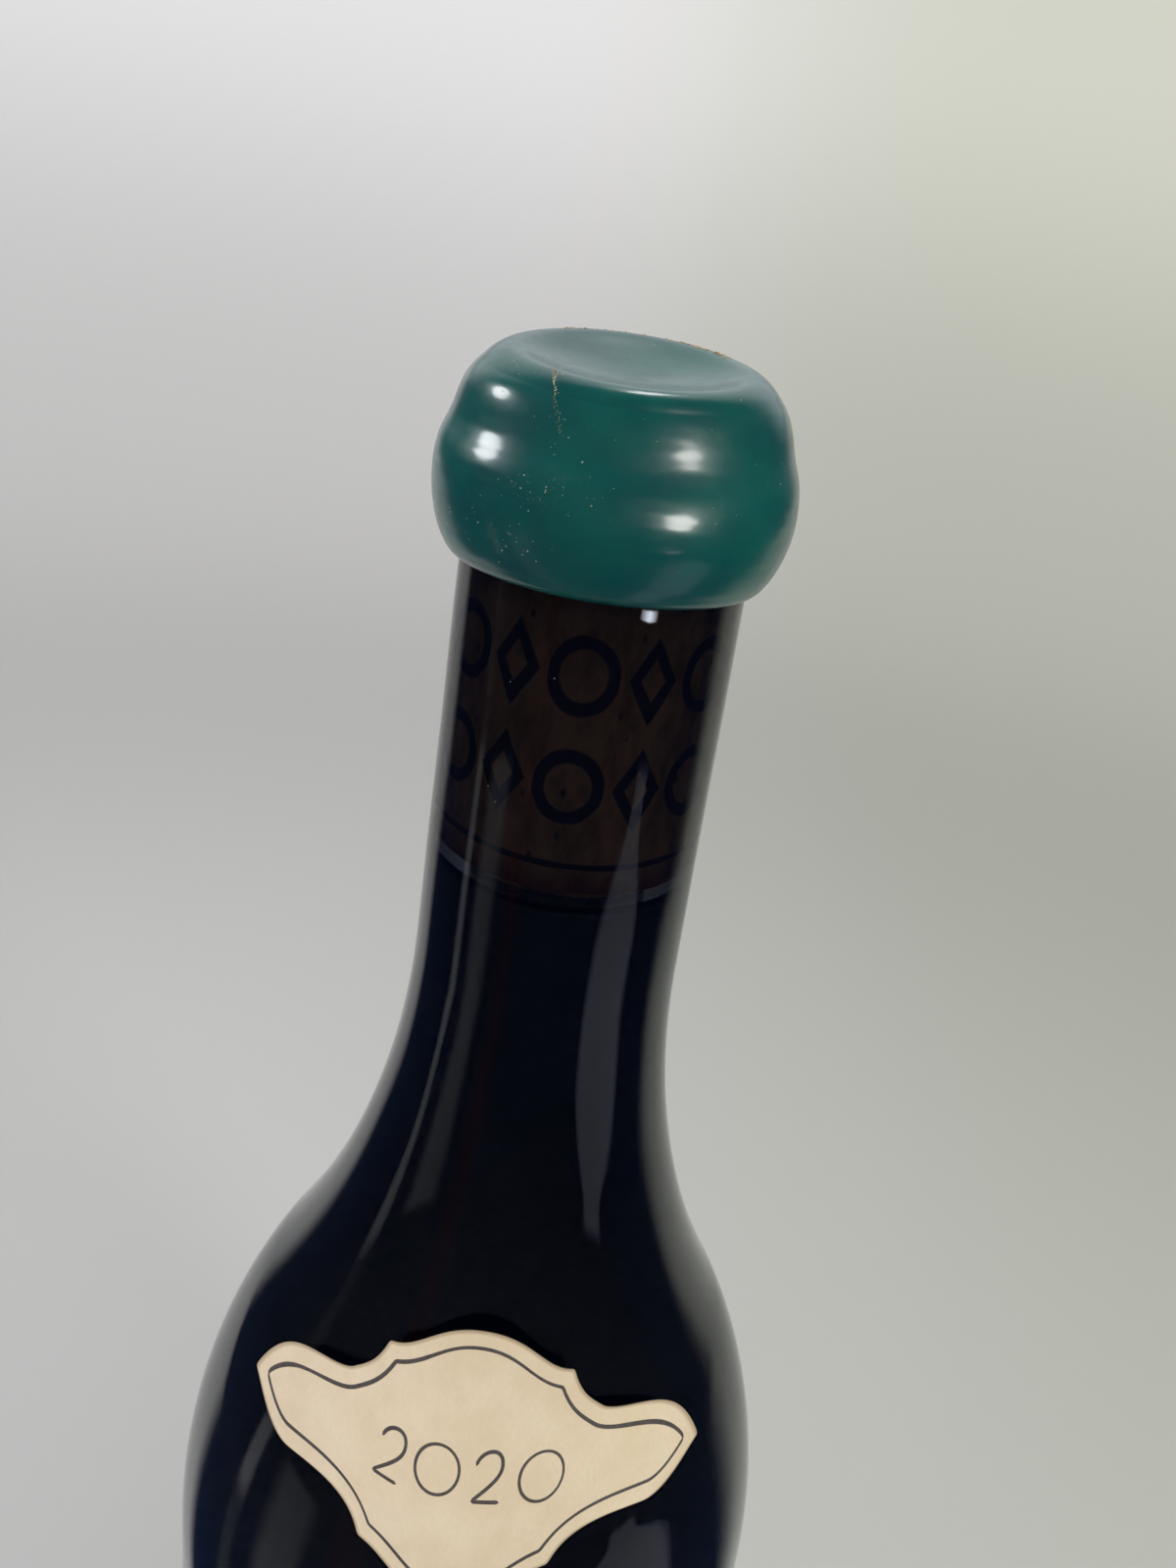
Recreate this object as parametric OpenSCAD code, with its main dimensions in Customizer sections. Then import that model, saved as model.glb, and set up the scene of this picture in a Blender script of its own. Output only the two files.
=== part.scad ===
// Wine bottle with sloping shoulders, dipped in sealing wax over its cork.
// Units are millimetres. The bottle stands on Z = 0 with its axis on Z, and its front looks along -Y.

/* [Bottle] */
// Height of the glass, from the ring it stands on to its mouth
bottle_h = 295; // [230:1:360]
// Diameter of the body
body_d = 80.2; // [66:0.1:100]
// Thickness of the glass in the body and shoulder
wall = 3; // [2:0.1:4]
// Radius of the heel, where the body turns under to the base
heel_r = 7; // [4:0.5:10]

/* [Neck] */
// Length of the neck, from the mouth down to where the shoulder starts
neck_len = 58.9; // [45:0.1:75]
// Outer diameter of the neck at its lower end
neck_d = 30.2; // [25:0.1:37]
// Slope of the neck's sides, widening downwards, in degrees
neck_taper = 0.74; // [0:0.01:1.5]
// Diameter of the bore at the mouth
bore_d = 18.6; // [15:0.1:22.5]
// How much wider the bore is at the foot of the neck
bore_widen = 2; // [0.5:0.1:3]
// Depth of the narrower lip above the collar
lip_depth = 3.6; // [2:0.1:6]
// How far the lip steps in from the line of the neck
lip_step = 0.6; // [0.2:0.1:1.2]
// Height of the collar around the neck
collar_h = 8; // [5:0.1:10]
// How far the collar stands out from the neck
collar_proud = 1.1; // [0.5:0.1:2]

/* [Shoulder] */
// Radius of the hollow curve below the neck
hollow_r = 105.6; // [85:0.1:130]
// Radius of the round curve above the body
round_r = 77.6; // [62:0.1:95]

/* [Base] */
// Depth of the punt, the hollow under the base
punt_depth = 24; // [15:0.5:28]
// Radius of the dome at the top of the punt
punt_dome_r = 14; // [9:0.5:17]
// Width of the flat ring that the bottle stands on
ring_w = 3; // [2:0.1:5]
// Thickness of the glass over the punt
base_t = 4; // [3:0.1:6]
// Radius of the valley inside, between the punt and the body
valley_r = 6; // [4:0.5:8]

/* [Cork and wine] */
// Length of the cork
cork_len = 45; // [36:0.5:50]
// How far the top of the cork lies below the mouth
cork_drop = 1.5; // [0.5:0.1:3]
// Chamfer on both ends of the cork
cork_chamfer = 0.6; // [0:0.1:1.5]
// Air between the foot of the cork and the wine
head_space = 1; // [0.5:0.5:20]
// Clearance between the glass and what fills it
fill_gap = 0.1; // [0.05:0.01:0.2]

/* [Wax] */
// How far the wax reaches down from the mouth
wax_reach = 14.6; // [13:0.1:19]
// Thickness of the wax over the collar, at its fullest
wax_t = 2.3; // [1.5:0.1:3.5]
// Depth of the groove between the lower bulge and the upper roll
wax_groove = 1.3; // [0.5:0.1:2]
// How far the groove drops at the front
wax_dip = 2.6; // [0:0.1:3.5]
// Height of the rim above the mouth, averaged around it
wax_rise = 5.6; // [4:0.1:8]
// How much the rim is higher at the back, and lower at the front
wax_tilt = 1.6; // [0:0.1:2.5]
// Radius of the rim's crest
wax_crest_r = 11.4; // [9:0.1:12.5]
// Thickness of the wax over the mouth, at the middle of the dish
wax_dish_t = 3.4; // [1:0.1:4]
// Clearance between the wax and the glass
wax_gap = 0.1; // [0.05:0.01:0.2]

/* [Label] */
// Distance from the mouth down to the label's top edge
label_drop = 96.6; // [88:0.1:105]
// Width of the label, measured round the shoulder
label_w = 65.4; // [52:0.1:78]
// Height of the label, measured along the axis
label_h = 27.3; // [22:0.1:33]
// Width of the domes at its top and bottom
dome_w = 21.8; // [17:0.1:26]
// Height of each dome
dome_h = 4.3; // [3:0.1:5.5]
// Thickness of the paper
paper_t = 0.3; // [0.2:0.05:0.4]
// Clearance between the paper and the glass
paper_gap = 0.05; // [0.02:0.01:0.1]

/* [Hidden] */
$fn = 96;

body_r = body_d / 2;
neck_r = neck_d / 2;
neck_z = bottle_h - neck_len;
bore_r = bore_d / 2;
bore_low_r = bore_r + bore_widen / 2;
bore_taper = atan((bore_low_r - bore_r) / neck_len);

// The shoulder is two arcs that meet on one slope. The hollow one is centred outside the bottle.
reach_r = hollow_r + round_r;
hollow_x = neck_r + hollow_r * cos(neck_taper);
round_x = body_r - round_r;
shoulder_slope = acos((hollow_x - round_x) / reach_r);
hollow_z = neck_z + hollow_r * sin(neck_taper);
body_z = hollow_z - reach_r * sin(shoulder_slope);

// Inside, the hollow arc starts from the bore, so its centre lies nearer and a little higher.
hollow_in_r = hollow_r + wall;
hollow_in_x = bore_low_r + hollow_in_r * cos(bore_taper);
slope_in = acos((hollow_in_x - round_x) / reach_r);
hollow_in_z = body_z + reach_r * sin(slope_in);
bore_low_z = hollow_in_z - hollow_in_r * sin(bore_taper);

// The finish: lip, collar and neck below it
function neck_at(z) = neck_r - (z - neck_z) * tan(neck_taper);
function bore_at(z) = bore_r + (bottle_h - z) * (bore_low_r - bore_r) / (bottle_h - bore_low_z);
lip_r = neck_at(bottle_h) - lip_step;
collar_top = bottle_h - lip_depth;
collar_low = collar_top - collar_h;
collar_r = neck_at(collar_low) + collar_proud;
soft_edge = 0.6;

// The punt: a dome, a straight flank that touches it, and the ring
ring_out_r = body_r - heel_r;
ring_in_r = ring_out_r - ring_w;
dome_z = punt_depth - punt_dome_r;
flank_a = atan2(-dome_z, ring_in_r) + acos(punt_dome_r / norm([ring_in_r, dome_z]));
valley_x = body_r - wall - valley_r;
valley_z = dome_z + (punt_dome_r + base_t + valley_r - valley_x * cos(flank_a)) / sin(flank_a);

// Points of an arc in the profile's plane, its ends included
function arc(x, z, r, from, to, n) =
    [for (i = [0:n]) [x + r * cos(from + (to - from) * i / n), z + r * sin(from + (to - from) * i / n)]];

// A point on a cubic curve through p[0] and p[3], drawn towards p[1] and p[2]
function cubic(p, t) =
    pow(1 - t, 3) * p[0] + 3 * pow(1 - t, 2) * t * p[1] + 3 * (1 - t) * t * t * p[2] + pow(t, 3) * p[3];

// Outer profile from the body up to the neck, moved outwards by d
function shoulder(d) = concat(
    arc(round_x, body_z, round_r + d, 0, shoulder_slope, 30),
    arc(hollow_x, hollow_z, hollow_r - d, 180 + shoulder_slope, 180 + neck_taper, 30));

// Profile of the cavity, from the axis outwards and up to the mouth, moved inwards by d
function cavity(d) = concat(
    arc(0, dome_z, punt_dome_r + base_t + d, 90, flank_a, 12),
    arc(valley_x, valley_z, valley_r - d, 180 + flank_a, 360, 16),
    arc(round_x, body_z, round_r - wall - d, 0, slope_in, 30),
    arc(hollow_in_x, hollow_in_z, hollow_in_r + d, 180 + slope_in, 180 + bore_taper, 30));

module bottle() {
    under = concat(arc(0, dome_z, punt_dome_r, 90, flank_a, 12), [[ring_in_r, 0]]);
    heel = arc(ring_out_r, heel_r, heel_r, 270, 360, 12);
    collar = concat(
        [[neck_at(collar_low), collar_low]],
        arc(collar_r - soft_edge, collar_low + 2 * soft_edge, soft_edge, 270, 360, 4),
        arc(collar_r - soft_edge, collar_top - soft_edge, soft_edge, 0, 90, 4));
    lip = concat(
        [[lip_r, collar_top]],
        arc(lip_r - soft_edge, bottle_h - soft_edge, soft_edge, 0, 90, 4),
        arc(bore_r + soft_edge, bottle_h - soft_edge, soft_edge, 90, 180, 4));
    inside = cavity(0);
    back = [for (i = [len(inside) - 1:-1:0]) inside[i]];
    color([0.02, 0.03, 0.07])
        rotate_extrude() polygon(concat(under, heel, shoulder(0), collar, lip, back));
}

module cork() {
    top = bottle_h - cork_drop;
    low = top - cork_len;
    r_top = bore_at(top) - fill_gap;
    r_low = bore_at(low) - fill_gap;
    color([0.42, 0.27, 0.17])
        rotate_extrude()
            polygon([
                [0, low], [r_low - cork_chamfer, low], [r_low, low + cork_chamfer],
                [r_top, top - cork_chamfer], [r_top - cork_chamfer, top], [0, top]]);
}

// The wine is the cavity, cut off at its level.
module wine() {
    inside = cavity(fill_gap);
    level = bottle_h - cork_drop - cork_len - head_space;
    below = [for (p = inside) if (p[1] < level) p];
    above = [for (p = inside) if (p[1] >= level) p];
    last = below[len(below) - 1];
    next = len(above) > 0 ? above[0] : [bore_at(level) - fill_gap, level];
    edge = last + (next - last) * (level - last[1]) / max(next[1] - last[1], 0.001);
    color([0.2, 0.01, 0.04])
        rotate_extrude() polygon(concat(below, [edge, [0, level]]));
}

// Wax, a closed skin of rings: up over the glass inside, out at the lower lip and over the rim to the dish
WAX_SIDES = 64;
wax_bulge_r = collar_r + wax_t;
wax_roll_r = wax_bulge_r - wax_groove - 0.4;
groove_z = -0.5;

// How strongly the front of the wax shows at an angle a, measured from the front towards +X
function front_bump(a) = exp(-pow(((a + 540 - 18) % 360 - 180) / 45, 2));

// Knots of the outer skin at angle a, as radius and height above the mouth
function wax_knots(a) =
    let (low = -wax_reach, tilt = -wax_tilt * cos(a), b = front_bump(a), g = groove_z - wax_dip * b)
    [
        [neck_at(bottle_h + low) + wax_gap, low],
        [wax_bulge_r - 1.5, low + 1],
        [wax_bulge_r, low + 5.8],
        [wax_bulge_r - 0.1 - 0.3 * b, g - 3.6 + 0.6 * b],
        [wax_bulge_r - wax_groove - 0.25 * b, g - 0.5 * b],
        [wax_roll_r - 0.8 * b, g + 2],
        [wax_crest_r + 2.9 - 0.5 * b, wax_rise - 1.6 + 0.9 * tilt],
        [wax_crest_r, wax_rise + tilt],
        [wax_crest_r * 0.78, wax_rise - 0.9 + 0.8 * tilt],
        [wax_crest_r * 0.45, wax_dish_t + 0.5 + 0.45 * tilt],
        [0, wax_dish_t]
    ];

// A smooth curve through knots k between knot i and the next, leaning on their neighbours
function through(k, i, t) =
    let (n = len(k) - 1, a = k[max(i - 1, 0)], b = k[i], c = k[i + 1], d = k[min(i + 2, n)])
    cubic([b, b + (c - a) / 6, c - (d - b) / 6, c], t);

WAX_STEPS = 3;
function wax_outside(a) =
    let (k = wax_knots(a))
    concat([for (i = [0:len(k) - 2], j = [0:WAX_STEPS - 1]) through(k, i, j / WAX_STEPS)]);

wax_inside = [
    [bore_r - wax_gap, wax_gap - cork_drop],
    [bore_r - wax_gap, wax_gap],
    [lip_r + wax_gap, wax_gap],
    [lip_r + wax_gap, wax_gap - lip_depth],
    [collar_r + wax_gap, wax_gap - lip_depth],
    [collar_r + wax_gap, -lip_depth - collar_h - wax_gap],
    [neck_at(collar_low) + wax_gap, -lip_depth - collar_h - wax_gap]
];

module wax() {
    rings = len(wax_inside) + len(wax_outside(0));
    skin = [for (s = [0:WAX_SIDES - 1])
        let (a = 360 * s / WAX_SIDES)
        for (p = concat(wax_inside, wax_outside(a))) [p[0] * sin(a), -p[0] * cos(a), bottle_h + p[1]]];
    low_pole = len(skin);
    points = concat(skin, [
        [0, 0, bottle_h + wax_gap - cork_drop],
        [0, 0, bottle_h + wax_dish_t]]);
    function at(s, r) = (s % WAX_SIDES) * rings + r;
    faces = concat(
        [for (s = [0:WAX_SIDES - 1]) [at(s, 0), at(s + 1, 0), low_pole]],
        [for (s = [0:WAX_SIDES - 1], r = [0:rings - 2]) [at(s, r), at(s, r + 1), at(s + 1, r + 1)]],
        [for (s = [0:WAX_SIDES - 1], r = [0:rings - 2]) [at(s, r), at(s + 1, r + 1), at(s + 1, r)]],
        [for (s = [0:WAX_SIDES - 1]) [at(s, rings - 1), low_pole + 1, at(s + 1, rings - 1)]]);
    color([0.02, 0.28, 0.26]) polyhedron(points, faces, convexity = 4);
}

// Right half of the label's outline, as distance round the glass and drop below its top edge
label_half = label_w / 2;
dome_half = dome_w / 2;
wing_drop = label_h * 0.68;
label_curves = [
    [[0, 0], [dome_half * 0.48, 0], [dome_half * 0.65, dome_h * 0.9], [dome_half, dome_h]],
    [[dome_half, dome_h], [dome_half + 1.2, dome_h + 2.8], [dome_half + 2.7, dome_h + 3.5],
        [dome_half + 4.3, dome_h + 4.6]],
    [[dome_half + 4.3, dome_h + 4.6], [dome_half + 6.8, dome_h + 6.3],
        [label_half - 5.4, wing_drop - 8.4], [label_half, wing_drop]],
    [[label_half, wing_drop], [label_half - 3, wing_drop], [label_half - 6.6, wing_drop + 2],
        [label_half - 9.8, wing_drop + 1.6]],
    [[label_half - 9.8, wing_drop + 1.6], [label_half - 13.6, wing_drop + 1],
        [dome_half + 2, label_h - dome_h - 4.4], [dome_half, label_h - dome_h]],
    [[dome_half, label_h - dome_h], [dome_half * 0.65, label_h - dome_h * 0.9],
        [dome_half * 0.48, label_h], [0, label_h]]
];
LABEL_STEPS = 8;
label_edge = [for (c = label_curves, j = [0:LABEL_STEPS - 1]) cubic(c, j / LABEL_STEPS)];

// Radius of the glass at height z on the shoulder
join_z = body_z + round_r * sin(shoulder_slope);
function glass_at(z) =
    z <= body_z ? body_r
    : z < join_z ? round_x + sqrt(pow(round_r, 2) - pow(z - body_z, 2))
    : hollow_x - sqrt(pow(hollow_r, 2) - pow(z - hollow_z, 2));

// A point of the outline as seen from the front: its distance round the glass becomes an angle.
function wrapped(p, side) =
    let (z = bottle_h - label_drop - p[1], r = glass_at(z) + paper_gap + paper_t)
    [side * r * sin(p[0] / r * 180 / PI), z];

module label() {
    n = len(label_edge);
    outline = concat(
        [for (p = label_edge) wrapped(p, 1)],
        [wrapped([0, label_h], 1)],
        [for (i = [n - 1:-1:1]) wrapped(label_edge[i], -1)]);
    outer = shoulder(paper_gap + paper_t);
    inner = shoulder(paper_gap);
    last = len(inner) - 1;
    color([0.87, 0.82, 0.72])
        intersection() {
            rotate_extrude()
                polygon(concat(
                    [[body_r + paper_gap, body_z - label_h]],
                    [[body_r + paper_gap + paper_t, body_z - label_h]],
                    outer,
                    [for (i = [last:-1:0]) inner[i]]));
            rotate([90, 0, 0]) linear_extrude(height = 2 * body_r) polygon(outline);
        }
}

bottle();
cork();
wax();
label();
wine();
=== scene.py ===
"""Wine bottle with a dipped wax seal: the looks of every piece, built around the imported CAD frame.

Sizes are in millimetres until a surface goes into its mesh, where they become metres. The bottle stands on
Z = 0 with its axis on Z, and its front, where the label is, looks along -Y.
"""

import bpy
import numpy as np
from mathutils import Matrix, Vector


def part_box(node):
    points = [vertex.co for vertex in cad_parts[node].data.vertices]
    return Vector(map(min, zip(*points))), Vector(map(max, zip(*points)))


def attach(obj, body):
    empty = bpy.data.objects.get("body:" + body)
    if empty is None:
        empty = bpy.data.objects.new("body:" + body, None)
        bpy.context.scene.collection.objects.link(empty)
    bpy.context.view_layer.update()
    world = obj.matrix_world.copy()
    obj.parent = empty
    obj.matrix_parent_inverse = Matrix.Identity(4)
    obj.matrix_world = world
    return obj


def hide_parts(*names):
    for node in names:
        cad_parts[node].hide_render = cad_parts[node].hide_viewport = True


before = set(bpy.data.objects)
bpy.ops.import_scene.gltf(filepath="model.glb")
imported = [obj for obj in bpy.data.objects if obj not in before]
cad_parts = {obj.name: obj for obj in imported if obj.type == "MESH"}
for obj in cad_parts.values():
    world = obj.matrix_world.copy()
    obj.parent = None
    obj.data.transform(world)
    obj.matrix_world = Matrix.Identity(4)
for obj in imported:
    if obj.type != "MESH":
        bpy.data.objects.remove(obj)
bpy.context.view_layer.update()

MM = 0.001
BODY = "root"
TAU = 2 * np.pi

# ---------------------------------------------------------------- driving sizes, in mm

mouth_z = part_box("bottle")[1].z / MM
body_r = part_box("bottle")[1].x / MM
wall = 3.0
heel_r = 7.0

neck_len = 58.9
neck_r = 15.1
neck_taper = 0.74
bore_r = 9.3
bore_low_r = 10.3
lip_depth = 3.6
lip_step = 0.6
collar_h = 8.0
collar_proud = 1.1
soft_edge = 0.6

hollow_r = 105.6
round_r = 77.6

punt_depth = 24.0
punt_dome_r = 14.0
ring_w = 3.0
base_t = 4.0
valley_r = 6.0

cork_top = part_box("cork")[1].z / MM
cork_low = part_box("cork")[0].z / MM
cork_drop = mouth_z - cork_top
cork_chamfer = 0.6
fill_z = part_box("wine")[1].z / MM
meniscus = 0.9
into_wall = 0.12

print_r = 9.8
print_marks = 10
print_turn = 0.52
print_mark_r = 2.6
print_rows = ((22.7, 6.7), (34.2, 6.6))
print_line = 42.8

wax_reach = 14.6
wax_t = 2.3
wax_groove = 1.3
wax_dip = 2.6
wax_rise = 5.6
wax_tilt = 1.6
wax_crest_r = 11.4
wax_dish_t = 3.4
wax_groove_z = -0.5
wax_touch = 0.05

label_drop = 96.6
label_half = 32.7
label_h = 27.3
dome_half = 10.9
dome_h = 4.3
paper_t = 0.22

border_in = 1.75
border_w = 0.42
digit_w = 0.39
ink_t = 0.022
digits_low = 16.5
digits_h = 4.6
two_w = 3.2
nought_w = 5.0

# ---------------------------------------------------------------- sizes worked out from them


def sin(degrees):
    return np.sin(np.radians(degrees))


def cos(degrees):
    return np.cos(np.radians(degrees))


neck_z = mouth_z - neck_len
reach_r = hollow_r + round_r
hollow_x = neck_r + hollow_r * cos(neck_taper)
round_x = body_r - round_r
slope = np.degrees(np.arccos((hollow_x - round_x) / reach_r))
hollow_z = neck_z + hollow_r * sin(neck_taper)
body_z = hollow_z - reach_r * sin(slope)
join_z = body_z + round_r * sin(slope)

bore_taper = np.degrees(np.arctan((bore_low_r - bore_r) / neck_len))
hollow_in_r = hollow_r + wall
hollow_in_x = bore_low_r + hollow_in_r * cos(bore_taper)
slope_in = np.degrees(np.arccos((hollow_in_x - round_x) / reach_r))
hollow_in_z = body_z + reach_r * sin(slope_in)
bore_low_z = hollow_in_z - hollow_in_r * sin(bore_taper)


def neck_at(z):
    """Radius of the neck's outside: a straight taper, wider downwards."""
    return neck_r - (z - neck_z) * np.tan(np.radians(neck_taper))


def bore_at(z):
    """Radius of the bore: a straight line from the mouth to the foot of the neck."""
    return bore_r + (mouth_z - z) * (bore_low_r - bore_r) / (mouth_z - bore_low_z)


def glass_at(z):
    """Radius of the glass's outside below the collar: wall, round arc, hollow arc, then the neck."""
    z = np.asarray(z, float)
    on_round = round_x + np.sqrt(np.maximum(round_r**2 - (z - body_z) ** 2, 0))
    on_hollow = hollow_x - np.sqrt(np.maximum(hollow_r**2 - (z - hollow_z) ** 2, 0))
    shoulder = np.where(z < join_z, on_round, on_hollow)
    return np.where(z <= body_z, body_r, np.where(z < neck_z, shoulder, neck_at(z)))


collar_top = mouth_z - lip_depth
collar_low = collar_top - collar_h
lip_r = neck_at(mouth_z) - lip_step
collar_r = neck_at(collar_low) + collar_proud

ring_out_r = body_r - heel_r
ring_in_r = ring_out_r - ring_w
dome_z = punt_depth - punt_dome_r
flank = np.degrees(np.arctan2(-dome_z, ring_in_r) + np.arccos(punt_dome_r / np.hypot(ring_in_r, dome_z)))
valley_x = body_r - wall - valley_r
valley_z = dome_z + (punt_dome_r + base_t + valley_r - valley_x * cos(flank)) / sin(flank)

# ---------------------------------------------------------------- surfaces


def arc(x, z, r, start, end, n):
    """n + 1 points of a circle about (x, z), from one angle to another in degrees."""
    a = np.linspace(start, end, n + 1)
    return np.stack([x + r * cos(a), z + r * sin(a)], 1)


def line(a, b, n):
    """n - 1 points strictly between a and b, evenly spaced."""
    t = np.linspace(0, 1, n + 1)[1:-1, None]
    return np.asarray(a) * (1 - t) + np.asarray(b) * t


def about(r, z, a):
    """Points at radius r, height z and angle a round the axis. Angle 0 is the front and grows towards +X."""
    return np.stack([r * np.sin(a), -r * np.cos(a), z + 0 * a], -1)


def hump(x, width):
    """1 where x is 0, fading to 0 on both sides of it."""
    return np.exp(-((x / width) ** 2))


def bell(a, middle, width):
    """A hump over angles in radians round the piece; its middle and width are in degrees."""
    return hump((np.degrees(a) + 540 - middle) % 360 - 180, width)


def soft_step(x, width):
    """0 well below x = 0 and 1 well above it."""
    return 0.5 + 0.5 * np.tanh(x / width)


def waves(x, y, rng, count, low, high):
    """A smooth uneven field of about unit height: plane waves of random direction, length and phase.
    x runs once round the piece in radians, so each wave turns a whole number of times in it."""
    out = np.zeros(np.broadcast(x, y).shape)
    for _ in range(count):
        k = rng.uniform(low, high)
        turn = rng.uniform(0, TAU)
        out += np.sin(np.round(k * np.cos(turn)) * x + k * np.sin(turn) * y + rng.uniform(0, TAU))
    return out / np.sqrt(count)


def grid_faces(rows, cols, wrap):
    """Quads between neighbouring rows and columns of a grid; the columns close up when wrap is true."""
    r, c = np.meshgrid(np.arange(rows - 1), np.arange(cols if wrap else cols - 1), indexing="ij")
    d = (c + 1) % cols
    return np.stack([r * cols + c, r * cols + d, (r + 1) * cols + d, (r + 1) * cols + c], -1).reshape(-1, 4)


def put(name, points, quads, tris=(), smooth=True):
    """A mesh object at the origin from points in mm, with quads and triangles as index arrays."""
    mesh = bpy.data.meshes.new(name)
    faces = [f.tolist() for f in np.asarray(quads, int).reshape(-1, 4)]
    faces += [f.tolist() for f in np.asarray(tris, int).reshape(-1, 3)]
    mesh.from_pydata((np.asarray(points).reshape(-1, 3) * MM).tolist(), [], faces)
    mesh.polygons.foreach_set("use_smooth", np.full(len(faces), smooth))
    mesh.validate()
    mesh.update()
    piece = bpy.data.objects.new(name, mesh)
    bpy.context.collection.objects.link(piece)
    return piece


def turned(name, profile, sides, relief=None):
    """A closed solid of revolution: the profile runs from pole to pole, and each of its points becomes a
    ring. relief(angle, radius, z) is added to the radius."""
    body = profile[1:-1]
    a = np.arange(sides) * TAU / sides
    r = np.repeat(body[:, :1], sides, 1)
    z = np.repeat(body[:, 1:], sides, 1)
    if relief:
        r = r + relief(a[None, :], r, z)
    return skin(name, about(r, z, a), (0, 0, profile[0, 1]), (0, 0, profile[-1, 1]))


def skin(name, rings, first, last):
    """A closed skin over rings of points, each end closed by a fan to its pole. The first pole is below."""
    rows, cols = rings.shape[:2]
    points = np.concatenate([rings.reshape(-1, 3), [first], [last]])
    c = np.arange(cols)
    d = (c + 1) % cols
    low = np.stack([d, c, np.full(cols, rows * cols)], 1)
    high = np.stack([c + (rows - 1) * cols, d + (rows - 1) * cols, np.full(cols, rows * cols + 1)], 1)
    return put(name, points, grid_faces(rows, cols, True), np.concatenate([low, high]))


# ---------------------------------------------------------------- glass, wine and cork


def cavity(out):
    """Profile of the hollow inside, from the axis outwards and up to the foot of the bore, grown by out."""
    top = arc(round_x, body_z, round_r - wall + out, 0, slope_in, 60)
    bottom = arc(valley_x, valley_z, valley_r + out, 180 + flank, 360, 24)
    dome = arc(0, dome_z, punt_dome_r + base_t - out, 90, flank, 20)
    return np.concatenate([
        dome, line(dome[-1], bottom[0], 10), bottom, line(bottom[-1], top[0], 50), top,
        arc(hollow_in_x, hollow_in_z, hollow_in_r - out, 180 + slope_in, 180 + bore_taper, 50)[1:]])


def glass_relief(a, r, z):
    """Flow lines and slow waves left by the mould: upright flutes on the neck, broad ones on the body."""
    rng = np.random.default_rng(5)
    neck = np.clip((z - join_z) / 40, 0, 1)
    flutes = np.sin(7 * a + 0.03 * z) + 0.7 * np.sin(13 * a - 0.05 * z + 2) + 0.5 * np.sin(23 * a + 0.11 * z)
    broad = waves(a, z / 14, rng, 9, 2, 5)
    seat = np.clip((z - 6) / 20, 0, 1) * (r > bore_r + 0.5)
    return seat * (0.012 * neck * flutes + 0.02 * broad)


def make_glass():
    """The bottle from the punt's top round the outside, over the mouth, and down the bore to the inside."""
    under = arc(0, dome_z, punt_dome_r, 90, flank, 20)
    foot = np.array([ring_in_r, 0.0])
    outside = np.concatenate([
        under, line(under[-1], foot, 16)[:-1],
        [foot + [-0.5, 0.5], foot + [-0.1, 0.12], foot + [0.4, 0.0]], line(foot, (ring_out_r, 0), 4),
        arc(ring_out_r, heel_r, heel_r, 270, 360, 20), line((body_r, heel_r), (body_r, body_z), 60),
        arc(round_x, body_z, round_r, 0, slope, 60),
        arc(hollow_x, hollow_z, hollow_r, 180 + slope, 180 + neck_taper, 60)[1:],
        line((neck_r, neck_z), (neck_at(collar_low), collar_low), 50)])
    finish = np.concatenate([
        [[neck_at(collar_low), collar_low]],
        arc(collar_r - soft_edge, collar_low + 2 * soft_edge, soft_edge, 270, 360, 5),
        arc(collar_r - soft_edge, collar_top - soft_edge, soft_edge, 0, 90, 5),
        [[lip_r, collar_top]],
        arc(lip_r - soft_edge, mouth_z - soft_edge, soft_edge, 0, 90, 5),
        arc(bore_r + soft_edge, mouth_z - soft_edge, soft_edge, 90, 180, 5)])
    inside = cavity(0)[::-1]
    bore = line(finish[-1], inside[0], 40)
    return turned("glass", np.concatenate([outside, finish, bore, inside]), 152, glass_relief)


def make_wine():
    """The wine reaches just into the wall and climbs it a little at its surface."""
    side = cavity(into_wall)
    side = side[side[:, 1] < fill_z - 1.6]
    level = fill_z - meniscus
    edge = bore_at(fill_z) + into_wall
    climb = np.linspace(0, 1, 9)[:, None]
    rise = np.concatenate([edge - 2.4 * climb, fill_z + meniscus * (1 - climb) ** 3 - meniscus], 1)
    foot = [[bore_at(fill_z - 1.2) + into_wall, fill_z - 1.2]]
    return turned("wine_fill", np.concatenate([side, foot, rise, [[0, level]]]), 128)


def cork_relief(a, r, z):
    """Shallow unevenness of a pressed cork."""
    return 0.03 * waves(a, z / 3, np.random.default_rng(8), 14, 4, 16) * (r > cork_chamfer * 4)


def make_cork():
    """The cork reaches just into the wall, with a small chamfer at both ends."""
    def edge(z):
        return bore_at(z) + into_wall

    ends = [
        [0, cork_low], [edge(cork_low) * 0.5, cork_low], [edge(cork_low) - cork_chamfer, cork_low],
        [edge(cork_low), cork_low + cork_chamfer]]
    tops = [
        [edge(cork_top), cork_top - cork_chamfer], [edge(cork_top) - cork_chamfer, cork_top],
        [edge(cork_top) * 0.5, cork_top], [0, cork_top]]
    return turned("cork_body", np.concatenate([ends, line(ends[-1], tops[0], 60), tops]), 128, cork_relief)


# ---------------------------------------------------------------- wax

wax_bulge_r = collar_r + wax_t
wax_roll_r = wax_bulge_r - wax_groove - 0.4

# middles and widths, in degrees, of the stretches where the skin differs
THIN = (18, 45)
FRONT = (-10, 55)
LEFT = (-50, 28)


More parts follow.
